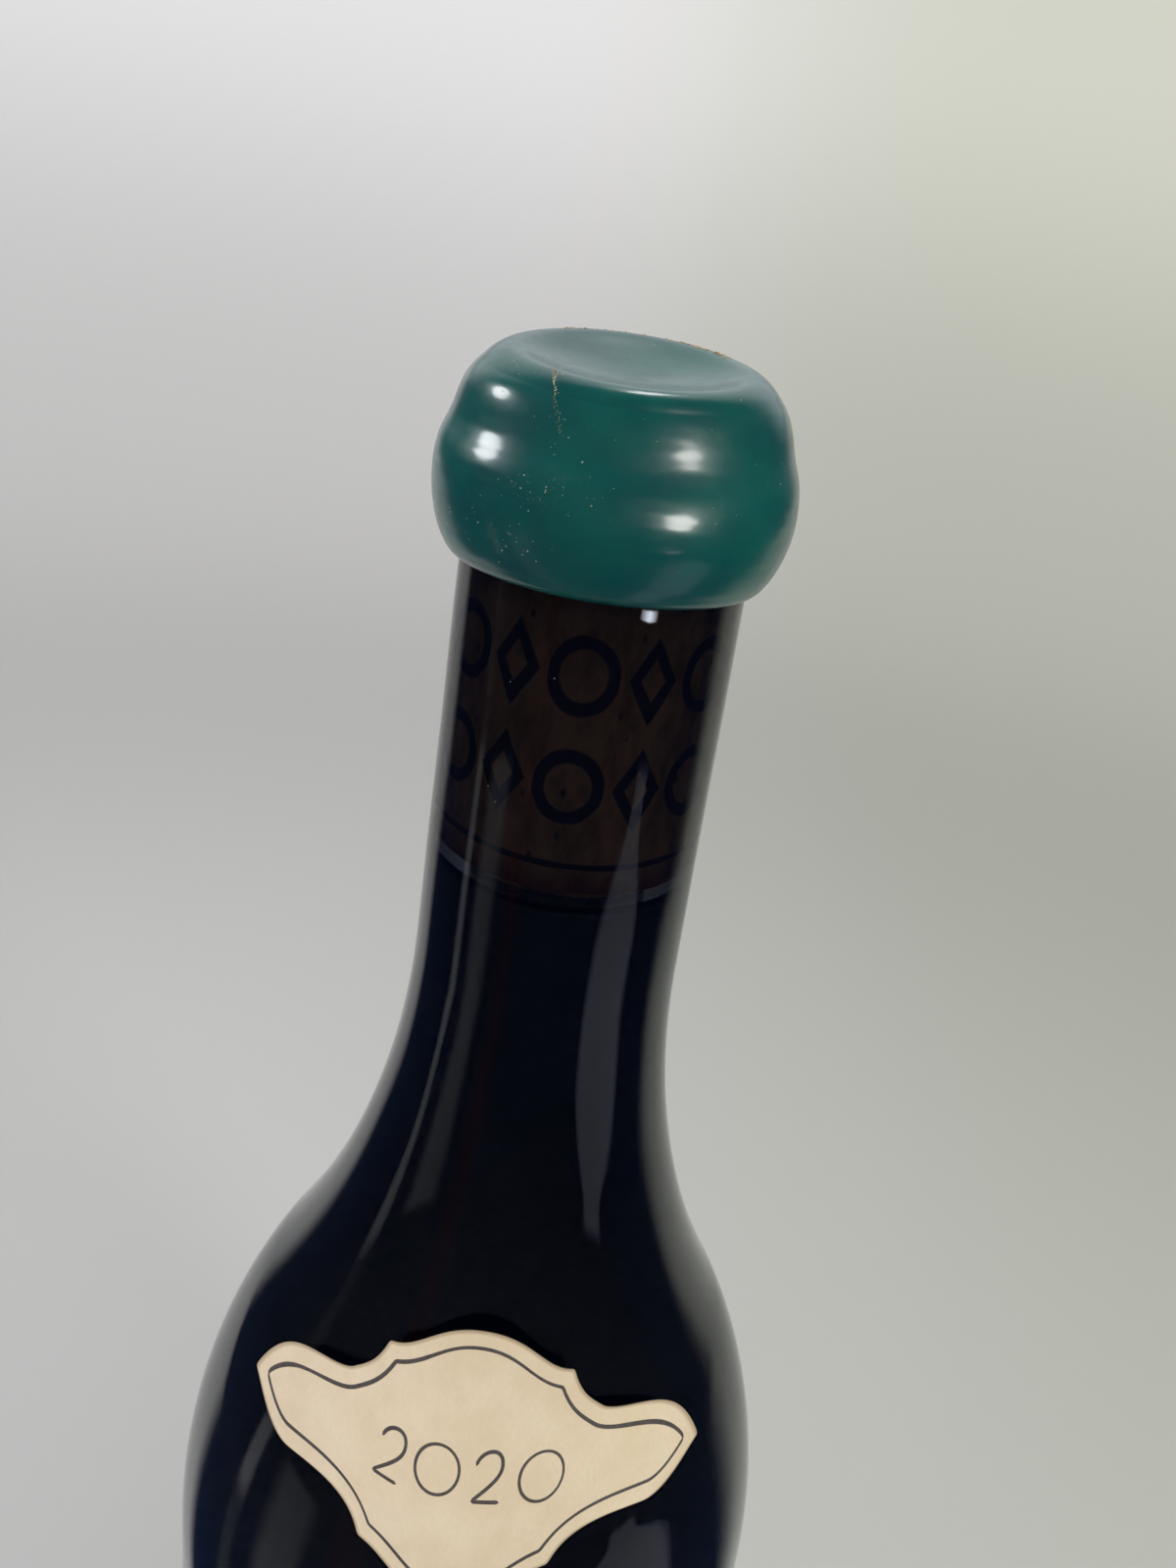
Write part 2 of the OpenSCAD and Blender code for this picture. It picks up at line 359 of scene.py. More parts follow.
def wax_knots(a):
    """Knots of the wax's outside for an array of angles: radius and height above the mouth. They go from the
    foot to the bulge, the groove, the roll over it, the crest, and the middle of the dish."""
    low = -wax_reach
    one = np.ones_like(a)
    tilt = -wax_tilt * np.cos(a)
    b = bell(a, *THIN)
    g = wax_groove_z - wax_dip * b
    knots = [
        (neck_at(mouth_z + low) - wax_touch, low), (wax_bulge_r - 1.5, low + 1), (wax_bulge_r, low + 5.8),
        (wax_bulge_r - 0.1 - 0.3 * b, g - 3.6 + 0.6 * b), (wax_bulge_r - wax_groove - 0.25 * b, g - 0.5 * b),
        (wax_roll_r - 0.8 * b, g + 2), (wax_crest_r + 2.9 - 0.5 * b, wax_rise - 1.6 + 0.9 * tilt),
        (wax_crest_r, wax_rise + tilt), (wax_crest_r * 0.78, wax_rise - 0.9 + 0.8 * tilt),
        (wax_crest_r * 0.45, wax_dish_t + 0.5 + 0.45 * tilt), (0, wax_dish_t)]
    return np.array([[r * one, z * one] for r, z in knots])


def wax_outside(a, steps):
    """The wax's outside as rings: a smooth curve through the knots, each leaning on its neighbours."""
    k = wax_knots(a)
    n = len(k) - 1
    t = (np.arange(steps) / steps)[:, None, None]
    rings = []
    for i in range(n):
        before, here, there, after = k[max(i - 1, 0)], k[i], k[i + 1], k[min(i + 2, n)]
        p1, p2 = here + (there - before) / 6, there - (after - here) / 6
        rings.append((1 - t) ** 3 * here + 3 * (1 - t) ** 2 * t * p1 + 3 * (1 - t) * t**2 * p2 + t**3 * there)
    return np.concatenate(rings)


WAX_SIDES = 360
WAX_ROWS = 210


def evened(rz, rows, soft):
    """Profiles with their points spread evenly along them, then eased: each point becomes the mean of those
    near it, weighted by a bell curve soft mm wide, which leaves no break in the curvature. The ends stay."""
    step = np.linalg.norm(np.diff(rz, axis=0), axis=1)
    gone = np.concatenate([np.zeros((1, step.shape[1])), np.cumsum(step, 0)])
    gone /= gone[-1]
    share = np.linspace(0, 1, rows)
    out = np.stack([
        [np.interp(share, gone[:, c], rz[:, k, c]) for c in range(rz.shape[2])] for k in (0, 1)])
    out = np.moveaxis(out, 2, 0)
    reach = np.linspace(0, step.sum(0).mean(), rows)
    near = np.minimum(reach, reach[-1] - reach)
    width = np.minimum(soft, near / 2 + 1e-6)
    weight = np.exp(-(((reach[None] - reach[:, None]) / width[:, None]) ** 2) / 2)
    weight /= weight.sum(1, keepdims=True)
    return np.einsum("ij,jkc->ikc", weight, out)


def wax_surface(a, rows):
    """Radius and height of the wax's outside on a grid, with the soft lumps of a hand-dipped skin. The eased
    profile steps in by two smooth steps over the groove, deepest round the front, where the dip ran thin. At
    the front left the groove is broader, with its foot lower and its roll higher. The slope at the dish's
    middle is levelled."""
    rz = evened(np.concatenate([wax_outside(a, 40), wax_knots(a)[-1:]]), rows, 1.3)
    r, z = rz[:, 0], rz[:, 1]
    front, left = bell(a, *FRONT), bell(a, *LEFT)
    shelf = (0.2 + 0.4 * front) * soft_step(z + 2.2 + 0.85 * left + 1.3 * bell(a, *THIN), 1.1)
    brow = 0.12 * front * soft_step(z - 0.6, 1.3)
    outer = np.arange(rows)[:, None] <= z.argmax(0)
    dent = 0.2 * left * hump(z + 1.7, 1.7)
    r = r - outer * (shelf + brow + dent) * np.clip((z.max(0) - z) / 1.6, 0, 1)
    z = z + outer * left * 0.4 * hump(z - 1.8, 1.5)
    cone = ((z[-4] - z[-1]) / r[-4]).mean()
    z = z - cone * r * np.clip(1 - r / 6, 0, 1) ** 2
    fade = np.clip((z + wax_reach) / 3, 0, 1)
    lumps = waves(a[None, :], z / 6, np.random.default_rng(3), 10, 2, 4)
    fine = waves(a[None, :], z / 2, np.random.default_rng(4), 12, 6, 14)
    return r * (1 + fade * (0.003 * lumps + 0.0004 * fine)), z + 0.03 * fade * lumps


def make_wax():
    """The seal: from the cork's top over the lip and the collar, then the outside from its foot to the dish.
    Its inside reaches a touch into the glass, so that no gap shows."""
    a = np.arange(WAX_SIDES) * TAU / WAX_SIDES
    r, z = wax_surface(a, WAX_ROWS)
    t = wax_touch
    inside = np.array([
        [bore_r + t, -cork_drop + t], [bore_r + t, -t], [lip_r - t, -t], [lip_r - t, -t - lip_depth],
        [collar_r - t, -t - lip_depth], [collar_r - t, -lip_depth - collar_h],
        [neck_at(collar_low) - t, -lip_depth - collar_h]])
    r = np.concatenate([np.repeat(inside[:, :1], WAX_SIDES, 1), r[:-1]])
    z = np.concatenate([np.repeat(inside[:, 1:], WAX_SIDES, 1), z[:-1]]) + mouth_z
    return skin("wax_seal", about(r, z, a), (0, 0, z[0, 0]), (0, 0, mouth_z + wax_dish_t))


# ---------------------------------------------------------------- label

wing_drop = label_h * 0.68
LABEL_CURVES = [
    [(0, 0), (dome_half * 0.48, 0), (dome_half * 0.65, dome_h * 0.9), (dome_half, dome_h)],
    [(dome_half, dome_h), (dome_half + 1.2, dome_h + 2.8), (dome_half + 2.7, dome_h + 3.5),
     (dome_half + 4.3, dome_h + 4.6)],
    [(dome_half + 4.3, dome_h + 4.6), (dome_half + 6.8, dome_h + 6.3), (label_half - 5.4, wing_drop - 8.4),
     (label_half, wing_drop)],
    [(label_half, wing_drop), (label_half - 3, wing_drop), (label_half - 6.6, wing_drop + 2),
     (label_half - 9.8, wing_drop + 1.6)],
    [(label_half - 9.8, wing_drop + 1.6), (label_half - 13.6, wing_drop + 1),
     (dome_half + 2, label_h - dome_h - 4.4), (dome_half, label_h - dome_h)],
    [(dome_half, label_h - dome_h), (dome_half * 0.65, label_h - dome_h * 0.9), (dome_half * 0.48, label_h),
     (0, label_h)]]


def cubic(p, t):
    """Points on a cubic curve through p[0] and p[3], drawn towards p[1] and p[2]."""
    p = np.asarray(p, float)
    t = np.asarray(t)[:, None]
    return (1 - t) ** 3 * p[0] + 3 * (1 - t) ** 2 * t * p[1] + 3 * (1 - t) * t**2 * p[2] + t**3 * p[3]


def label_outline(steps):
    """The cartouche's outline, clockwise from the top: distance round the glass, and drop below the top."""
    t = np.arange(steps) / steps
    right = np.concatenate([cubic(c, t) for c in LABEL_CURVES])
    left = right[::-1] * (-1, 1)
    return np.concatenate([right, [(0, label_h)], left[:-1]])


def on_glass(flat, lift):
    """Wraps flat points (distance round the glass, drop below the label's top) onto the shoulder, lift mm off
    it. The distance becomes an angle at that height's radius, and the lift goes square to the glass."""
    z = mouth_z - label_drop - flat[..., 1]
    r = glass_at(z)
    a = flat[..., 0] / r
    fall = (glass_at(z + 0.1) - glass_at(z - 0.1)) / 0.2
    n = 1 / np.sqrt(1 + fall**2)
    return about(r + lift * n, z - lift * n * fall, a)


def make_paper():
    """The label: rings that grow from its middle to its edge, over the thin rounded edge and back underneath.
    Its underside reaches a tenth of its thickness into the glass. The attribute edge is 1 at the edge."""
    edge = smoothed(label_outline(80), 6)
    middle = np.array([0, label_h / 2])
    sunk = -0.1
    share = np.concatenate([np.linspace(0.02, 0.96, 44), [0.99, 0.9965, 1.0, 1.0, 0.9965, 0.96, 0.5, 0.02]])
    lift = np.concatenate([np.full(45, 1.0), [0.97, 0.8, 0.2, 0.0, sunk, sunk, sunk]]) * paper_t
    flat = middle + share[:, None, None] * (edge - middle)
    rng = np.random.default_rng(12)
    cockle = waves(flat[..., 0] / 5, flat[..., 1] / 5, rng, 8, 1, 3) * np.clip(lift / paper_t, 0, 1)[:, None]
    rings = on_glass(flat, lift[:, None] + 0.012 * cockle)
    top = on_glass(middle, paper_t)
    low = on_glass(middle, sunk * paper_t)
    paper = skin("label_paper", rings[::-1], low, top)
    edge_share = np.concatenate([np.repeat(share[::-1], rings.shape[1]), [0, 0]])
    paper.data.attributes.new("edge", "FLOAT", "POINT").data.foreach_set("value", edge_share)
    return paper


def ribbon(paths, width, lift, height):
    """Ink drawn along flat paths: five points across each stroke, highest in the middle, wrapped on the
    label. Each path is (points, closed). An open stroke's ends are rounded off by narrowing."""
    across = np.array([-0.5, -0.32, 0.0, 0.32, 0.5])
    crown = np.array([-0.4, 0.8, 1.0, 0.8, -0.4])
    points, quads, first = [], [], 0
    for path, closed in paths:
        if closed:
            ahead, behind = np.roll(path, -1, 0), np.roll(path, 1, 0)
        else:
            ahead, behind = np.vstack([path[1:], path[-1:]]), np.vstack([path[:1], path[:-1]])
        along = ahead - behind
        along /= np.linalg.norm(along, axis=1, keepdims=True)
        side = np.stack([-along[:, 1], along[:, 0]], 1)
        grow = np.ones(len(path))
        if not closed:
            gone = np.concatenate([[0], np.cumsum(np.linalg.norm(np.diff(path, axis=0), axis=1))])
            end = np.minimum(gone, gone[-1] - gone) / (width / 2)
            grow = np.sqrt(np.clip(1 - (1 - np.clip(end, 0, 1)) ** 2, 0.02, 1))
        flat = path[:, None, :] + side[:, None, :] * (across * width)[None, :, None] * grow[:, None, None]
        points.append(on_glass(flat, lift + height * crown[None, :]).reshape(-1, 3))
        faces = grid_faces(len(path), 5, False)
        if closed:
            c = np.arange(4)
            last = (len(path) - 1) * 5
            faces = np.concatenate([faces, np.stack([last + c, last + c + 1, c + 1, c], 1)])
        quads.append(faces[:, ::-1] + first)
        first += len(path) * 5
    return np.concatenate(points), np.concatenate(quads)


def inset(edge, by):
    """The outline moved inwards by a set distance: each point moves along the mean of its two edges' normals.
    Points that land nearer than that to another part of the outline are left out, which cuts the loops."""
    a = edge - np.roll(edge, 1, 0)
    b = np.roll(edge, -1, 0) - edge
    a /= np.linalg.norm(a, axis=1, keepdims=True)
    b /= np.linalg.norm(b, axis=1, keepdims=True)
    na, nb = np.stack([-a[:, 1], a[:, 0]], 1), np.stack([-b[:, 1], b[:, 0]], 1)
    mean = na + nb
    moved = edge + by * mean / np.maximum((1 + (na * nb).sum(1)), 0.35)[:, None]
    near = np.linalg.norm(moved[:, None] - edge[None], axis=2).min(1)
    return moved[near > 0.97 * by]


def smoothed(path, times):
    """A closed path with each point drawn to its neighbours' mean, so that crowded points spread out."""
    for _ in range(times):
        path = (np.roll(path, 1, 0) + 2 * path + np.roll(path, -1, 0)) / 4
    return path


def make_border():
    """The printed line that follows the label's edge."""
    path = smoothed(inset(label_outline(40), border_in), 3)
    return put("label_border", *ribbon([(path, True)], border_w, paper_t, ink_t))


def digit_two():
    """Stroke of a 2 in a box one unit wide and high, drop downwards: hook, bowl, slanting stem, then foot."""
    hook = cubic([(0.05, 0.28), (0.16, -0.08), (0.98, -0.16), (0.96, 0.28)], np.linspace(0, 1, 20))
    stem = cubic([(0.96, 0.28), (0.95, 0.52), (0.5, 0.72), (0, 1)], np.linspace(0, 1, 20)[1:])
    foot = line((0, 1), (0.97, 1), 12)
    return np.concatenate([hook, stem]), np.concatenate([[(0, 1)], foot, [(0.97, 1)]])


def digit_nought():
    """Stroke of a 0: a full round."""
    a = np.linspace(0, TAU, 64, endpoint=False)
    return np.stack([0.5 + 0.5 * np.sin(a), 0.5 - 0.5 * np.cos(a)], 1)


def make_digits():
    """A plain year in thin strokes: each digit stands on one level line and leans out from the middle."""
    two = two_w, [(stroke, False) for stroke in digit_two()]
    nought = nought_w, [(digit_nought(), True)]
    year = (two, -8.8, 7), (nought, -3.1, 2), (two, 2.8, -2), (nought, 9.0, -7)
    paths = []
    for (width, strokes), middle, lean in year:
        for unit, closed in strokes:
            x = (unit[:, 0] - 0.5) * width
            y = (unit[:, 1] - 1) * digits_h
            across = middle + x * cos(lean) - y * sin(lean)
            down = digits_low + y * cos(lean) + x * sin(lean)
            paths.append((np.stack([across, down], 1), closed))
    return put("label_digits", *ribbon(paths, digit_w, paper_t, ink_t))


# ---------------------------------------------------------------- dust and crumbs

DUST_ROWS = 120


def flakes(name, centres, normals, sizes, rng):
    """Small uneven lumps, one at each centre: a squashed six-sided bead turned to lie on its surface."""
    count = len(centres)
    turn = rng.uniform(0, TAU, count)
    helper = np.where(np.abs(normals[:, 2:]) < 0.9, (0, 0, 1), (1, 0, 0))
    east = np.cross(helper, normals)
    east /= np.linalg.norm(east, axis=1, keepdims=True)
    north = np.cross(normals, east)
    u = east * np.cos(turn)[:, None] + north * np.sin(turn)[:, None]
    v = np.cross(normals, u)
    a = np.arange(6) * TAU / 6
    stretch = rng.uniform(0.4, 1.0, (count, 1))
    ring = sizes[:, None] * rng.uniform(0.7, 1.2, (count, 6)) / 2
    x, y = ring * np.cos(a), ring * np.sin(a) * stretch
    edge = centres[:, None] + x[..., None] * u[:, None] + y[..., None] * v[:, None]
    high = sizes[:, None] * rng.uniform(0.12, 0.3, (count, 1))
    top = centres + normals * high
    low = centres - normals * high
    points = np.concatenate([edge, top[:, None], low[:, None]], 1).reshape(-1, 3)
    k = np.arange(6)
    tri = np.concatenate([
        np.stack([k, (k + 1) % 6, np.full(6, 6)], 1), np.stack([(k + 1) % 6, k, np.full(6, 7)], 1)])
    tris = (tri[None] + (np.arange(count) * 8)[:, None, None]).reshape(-1, 3)
    return put(name, points, np.zeros((0, 4), int), tris, smooth=False)


def on_wax(a, where):
    """Points and outward normals on the wax, at angles and at shares 0 to 1 of the way from lip to dish."""
    r, z = wax_surface(a, DUST_ROWS)
    pick = np.clip(where * (len(r) - 2), 0, len(r) - 2)
    i = pick.astype(int)
    f = pick - i
    c = np.arange(len(a))
    rr = r[i, c] * (1 - f) + r[i + 1, c] * f
    zz = z[i, c] * (1 - f) + z[i + 1, c] * f
    dr, dz = r[i + 1, c] - r[i, c], z[i + 1, c] - z[i, c]
    out, up = dz, -dr
    size = np.hypot(out, up)
    out, up = out / size, up / size
    return about(rr, mouth_z + zz, a), about(out, up, a)


def crest_at(a):
    """The share of the way from lip to dish at which the rim is highest, for each angle."""
    z = wax_surface(a, DUST_ROWS)[1]
    return z.argmax(0) / (len(z) - 2)


def make_dust():
    """Pale specks scattered over the wax, and patches of them: angle in degrees, share of the way, count."""
    patches = [
        (-47, 0.62, 26), (-55, 0.2, 34), (-27, 0.18, 40), (-23, 0.31, 40), (-12, 0.32, 24),
        (-16, 0.47, 16), (52, 0.42, 8), (150, 0.4, 24)]
    rng = np.random.default_rng(21)
    spots = [np.stack([rng.uniform(-np.pi, np.pi, 240), rng.uniform(0.08, 0.85, 240)], 1)]
    for angle, where, count in patches:
        spots.append(np.array([np.radians(angle), where]) + rng.normal(0, (0.13, 0.03), (count, 2)))
    spots = np.concatenate(spots)
    points, normals = on_wax(spots[:, 0], np.clip(spots[:, 1], 0.05, 0.97))
    return flakes("wax_dust", points, normals, 0.05 + 0.17 * rng.random(len(points)) ** 3, rng)


def make_crumbs():
    """Tan crumbs of cork and old wax: along the back of the rim, and a scratch over the front left edge that
    starts in a small heap."""
    rng = np.random.default_rng(33)
    rim = np.concatenate([rng.uniform(126, 166, 90), rng.uniform(202, 222, 30), rng.uniform(166, 202, 10)])
    rim_at = crest_at(np.radians(rim)) + rng.normal(0, 0.006, len(rim))
    t = np.linspace(0, 1, 44)
    start, start_at, heap_count = -33, 0.655, 22
    scratch = start + 14 * t + rng.normal(0, 0.5, len(t))
    heap, heap_at = rng.normal(start, 3.0, heap_count), rng.normal(start_at, 0.008, heap_count)
    angle = np.radians(np.concatenate([rim, scratch, heap]))
    points, normals = on_wax(angle, np.concatenate([rim_at, start_at - 0.19 * t, heap_at]))
    sizes = np.concatenate([
        0.15 + 0.5 * rng.random(len(rim)) ** 2, 0.18 * (1 - t) + 0.08,
        0.08 + 0.2 * rng.random(heap_count) ** 2])
    return flakes("wax_crumbs", points, normals, sizes, rng)


def make_neck_dust():
    """A few specks of dust on the glass of the neck and shoulder."""
    rng = np.random.default_rng(44)
    count = 150
    a = rng.uniform(-np.pi, np.pi, count)
    z = mouth_z - wax_reach - 0.5 - 85 * rng.random(count) ** 1.8
    points, normals = about(glass_at(z) + 0.02, z, a), about(1, 0, a)
    return flakes("neck_dust", points, normals, 0.05 + 0.12 * rng.random(count) ** 3, rng)


# ---------------------------------------------------------------- materials


class Nodes:
    """A short way to write a material's node tree. Colours are linear RGB."""

    def __init__(self, name):
        self.material = bpy.data.materials.new(name)
        self.material.use_nodes = True
        self.tree = self.material.node_tree
        self.shader = self.tree.nodes["Principled BSDF"]
        self.output = self.tree.nodes["Material Output"]

    def node(self, kind, inputs=(), **settings):
        made = self.tree.nodes.new(kind)
        for key, value in settings.items():
            setattr(made, key, value)
        for key, value in dict(inputs).items():
            self.feed(made.inputs[key], value)
        return made

    def feed(self, socket, value):
        if isinstance(value, bpy.types.NodeSocket):
            self.tree.links.new(value, socket)
        elif hasattr(socket.default_value, "__len__") and len(socket.default_value) == 4 and len(value) == 3:
            socket.default_value = (*value, 1)
        else:
            socket.default_value = value

    def set(self, **values):
        """Sets sockets of the main shader; an underscore in a name stands for a space."""
        for key, value in values.items():
            self.feed(self.shader.inputs[key.replace("_", " ")], value)

    def place(self):
        return self.node("ShaderNodeTexCoord").outputs["Object"]

    def parts(self, where):
        """The x, y and z of a place."""
        return tuple(self.node("ShaderNodeSeparateXYZ", {"Vector": where}).outputs)

    def noise(self, where, scale, detail=3.0, rough=0.5, twist=0.0):
        inputs = {"Vector": where, "Scale": scale, "Detail": detail, "Roughness": rough, "Distortion": twist}
        return self.node("ShaderNodeTexNoise", inputs).outputs["Fac"]

    def stretch(self, where, scale):
        return self.node("ShaderNodeMapping", {"Vector": where, "Scale": scale}).outputs["Vector"]

    def math(self, operation, a, b=0.0, c=0.0):
        made = self.node("ShaderNodeMath", operation=operation)
        for socket, value in zip(made.inputs, (a, b, c)):
            self.feed(socket, value)
        return made.outputs[0]

    def add(self, a, b):
        return self.math("ADD", a, b)

    def sub(self, a, b):
        return self.math("SUBTRACT", a, b)

    def mul(self, a, b):
        return self.math("MULTIPLY", a, b)

    def most(self, first, *others):
        for other in others:
            first = self.math("MAXIMUM", first, other)
        return first

    def gap(self, a, b):
        """How far apart two values are."""
        return self.math("ABSOLUTE", self.sub(a, b))

    def away(self, x, y):
        """Distance of (x, y) from the middle."""
        return self.math("SQRT", self.add(self.mul(x, x), self.mul(y, y)))

    def turn(self, x, y):
        """Angle round the axis in radians: 0 at the front, growing towards +X."""
        return self.math("ARCTAN2", x, self.mul(y, -1.0))

    def band(self, value, low, high, to_low=0.0, to_high=1.0):
        """value from low to high becomes to_low to to_high, smoothly and clamped."""
        inputs = {"Value": value, "From Min": low, "From Max": high, "To Min": to_low, "To Max": to_high}
        return self.node("ShaderNodeMapRange", inputs, interpolation_type="SMOOTHSTEP").outputs["Result"]

    def mix(self, share, a, b):
        made = self.node("ShaderNodeMix", data_type="RGBA")
        self.feed(made.inputs[0], share)
        self.feed(made.inputs[6], a)
        self.feed(made.inputs[7], b)
        return made.outputs[2]

    def bump(self, height, strength, distance):
        inputs = {"Height": height, "Strength": strength, "Distance": distance}
        return self.node("ShaderNodeBump", inputs).outputs["Normal"]

    def absorb(self, colour, density):
        volume = self.node("ShaderNodeVolumeAbsorption", {"Color": colour, "Density": density})
        self.tree.links.new(volume.outputs["Volume"], self.output.inputs["Volume"])


def glass_material():
    """Dark glass: clear at its skin, with the colour in its depth."""
    m = Nodes("bottle_glass")
    m.set(Base_Color=(1, 1, 1), Roughness=0.015, IOR=1.52, Transmission_Weight=1.0)
    m.set(Specular_Tint=(0.8, 0.87, 1.0))
    m.absorb((0.34, 0.36, 0.42), 420.0)
    return m.material


def wine_material():
    """Red wine, nearly black in the body of the bottle."""
    m = Nodes("red_wine")
    m.set(Base_Color=(1, 1, 1), Roughness=0.0, IOR=1.34, Transmission_Weight=1.0)
    m.absorb((0.35, 0.01, 0.03), 1500.0)
    return m.material


def cork_material():
    """Cork with grain and pores, darker and redder at the wine's end, and a plain ornament printed round it:
    two rows in which rings and lozenges take turns, over one line."""
    m = Nodes("printed_cork")
    where = m.place()
    x, y, z = m.parts(where)
    grain = m.noise(m.stretch(where, (1, 1, 0.35)), 420, 5, 0.6)
    long = m.stretch(where, (1, 1, 0.5))
    pores = m.node("ShaderNodeTexVoronoi", {"Vector": long, "Scale": 520.0}).outputs[0]
    bare = m.mix(m.band(grain, 0.35, 0.68), (0.5, 0.27, 0.14), (0.28, 0.14, 0.07))
    bare = m.mix(m.band(pores, 0.02, 0.2, 1, 0), bare, (0.12, 0.06, 0.035))
    soaked = m.band(z, cork_low * MM, (cork_low + 5) * MM, 0.75, 0.0)
    bare = m.mix(soaked, bare, (0.14, 0.025, 0.03))

    round_mm = m.mul(m.turn(x, y), print_r)
    up_mm = m.mul(z, 1 / MM)
    pitch = TAU * print_r / print_marks
    cell = m.add(m.math("DIVIDE", round_mm, pitch), print_turn)
    side = m.mul(m.sub(m.math("FRACT", cell), 0.5), pitch)
    odd = m.math("MODULO", m.math("FLOOR", m.add(cell, 40.0)), 2.0)

    def row(drop, size):
        """Distance to the nearest stroke in one row, drop mm below the mouth. Every odd mark is a lozenge."""
        high = m.mul(m.sub(up_mm, mouth_z - drop), 2 * print_mark_r / size)
        ring = m.gap(m.away(side, high), print_mark_r)
        flat = m.add(m.mul(m.math("ABSOLUTE", side), 1.5), m.math("ABSOLUTE", high))
        lozenge = m.mul(m.gap(flat, print_mark_r), 0.62)
        return m.add(m.mul(odd, lozenge), m.mul(m.sub(1.0, odd), ring))

    first, second = [row(drop, size) for drop, size in print_rows]
    band = m.mul(m.gap(up_mm, mouth_z - print_line), 1.6)
    near = m.math("MINIMUM", m.math("MINIMUM", first, second), band)
    ragged = m.add(near, m.mul(m.sub(grain, 0.5), 0.5))
    ink = m.band(ragged, 0.42, 0.66, 0.88, 0.0)
    rim = m.mul(m.band(up_mm, cork_low + 0.45, cork_low + 0.75, 1, 0), m.band(grain, 0.4, 0.6))
    bare = m.mix(rim, bare, (0.55, 0.3, 0.1))
    m.set(Base_Color=m.mix(ink, bare, (0.006, 0.009, 0.06)), Roughness=0.75, Specular_IOR_Level=0.2)
    m.set(Normal=m.bump(grain, 0.3, 0.0002))
    return m.material


def wax_material():
    """Deep green-blue sealing wax: light gets a little way in, and the soft gloss has worn dusty areas."""
    m = Nodes("sealing_wax")
    where = m.place()
    cloud = m.noise(where, 70, 3, 0.5)
    haze = m.noise(where, 260, 5, 0.62, 0.4)
    colour = m.mix(m.band(cloud, 0.35, 0.7), (0.001, 0.06, 0.063), (0.002, 0.092, 0.08))
    dusty = m.mul(m.band(haze, 0.56, 0.78), m.band(cloud, 0.42, 0.62))
    colour = m.mix(m.mul(dusty, 0.09), colour, (0.25, 0.3, 0.27))
    rough = m.band(m.noise(where, 500, 4, 0.6), 0.3, 0.75, 0.3, 0.38)
    m.set(Base_Color=colour, Roughness=rough, IOR=1.37, Coat_Weight=0.65, Coat_Roughness=0.14, Coat_IOR=1.45)
    m.set(Subsurface_Weight=0.35, Subsurface_Radius=(0.2, 1.0, 0.8), Subsurface_Scale=0.0012)
    m.set(Normal=m.bump(m.noise(where, 420, 4, 0.55), 0.06, 0.0004))
    return m.material


def paper_material():
    """Cream paper: mottled, with faint upright fibres, and a brown edge that is partly the cut edge's own
    colour and partly painted shade.
    """
    m = Nodes("cream_paper")
    where = m.place()
    mottle = m.noise(where, 160, 5, 0.6)
    fibre = m.noise(m.stretch(where, (1, 1, 0.4)), 2400, 3, 0.6)
    colour = m.mix(m.band(mottle, 0.3, 0.7), (0.78, 0.63, 0.45), (0.84, 0.7, 0.52))
    colour = m.mix(m.band(fibre, 0.3, 0.8, 0.0, 0.22), colour, (0.62, 0.53, 0.4))
    edge = m.node("ShaderNodeAttribute", attribute_name="edge").outputs["Fac"]
    # Painted shade, partly the cut edge's own colour: the outermost band of the label is mixed towards brown
    # all round.
    colour = m.mix(m.band(edge, 0.965, 0.997, 0.0, 0.7), colour, (0.34, 0.23, 0.13))
    m.set(Base_Color=colour, Roughness=0.62, Specular_IOR_Level=0.3, Sheen_Weight=0.05)
    m.set(Normal=m.bump(m.add(fibre, mottle), 0.25, 0.00008))
    return m.material


def ink_material():
    """Soft dark grey ink with a broken edge where the paper's fibres show through."""
    m = Nodes("grey_ink")
    where = m.place()
    worn = m.noise(where, 3000, 3, 0.6)
    m.set(Base_Color=m.mix(m.band(worn, 0.3, 0.8), (0.075, 0.062, 0.06), (0.13, 0.11, 0.1)), Roughness=0.5)
    m.set(Normal=m.bump(worn, 0.2, 0.00003))
    return m.material


def speck_material(name, dark, pale):
    """Dull specks that vary between two colours."""
    m = Nodes(name)
    shade = m.noise(m.place(), 900, 2, 0.5)
    m.set(Base_Color=m.mix(m.band(shade, 0.35, 0.65), dark, pale), Roughness=0.8, Specular_IOR_Level=0.2)
    m.set(Normal=m.bump(shade, 0.2, 0.00005))
    return m.material


# ---------------------------------------------------------------- the pieces on the frame


def dress(piece, material, node=None):
    """Gives a piece its material, sets it on the CAD body, and hides the CAD node it stands for."""
    piece.data.materials.append(material)
    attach(piece, BODY)
    if node:
        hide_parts(node)
    return piece


dust_look = speck_material("pale_dust", (0.16, 0.2, 0.18), (0.42, 0.46, 0.4))
ink_look = ink_material()
dress(make_glass(), glass_material(), "bottle")
dress(make_wine(), wine_material(), "wine")
dress(make_cork(), cork_material(), "cork")
dress(make_wax(), wax_material(), "wax")
dress(make_paper(), paper_material(), "label")
dress(make_border(), ink_look)
dress(make_digits(), ink_look)
dress(make_dust(), dust_look)
dress(make_neck_dust(), dust_look)
dress(make_crumbs(), speck_material("tan_crumbs", (0.25, 0.18, 0.1), (0.52, 0.42, 0.27)))

# ---------------------------------------------------------------- floor, light and camera


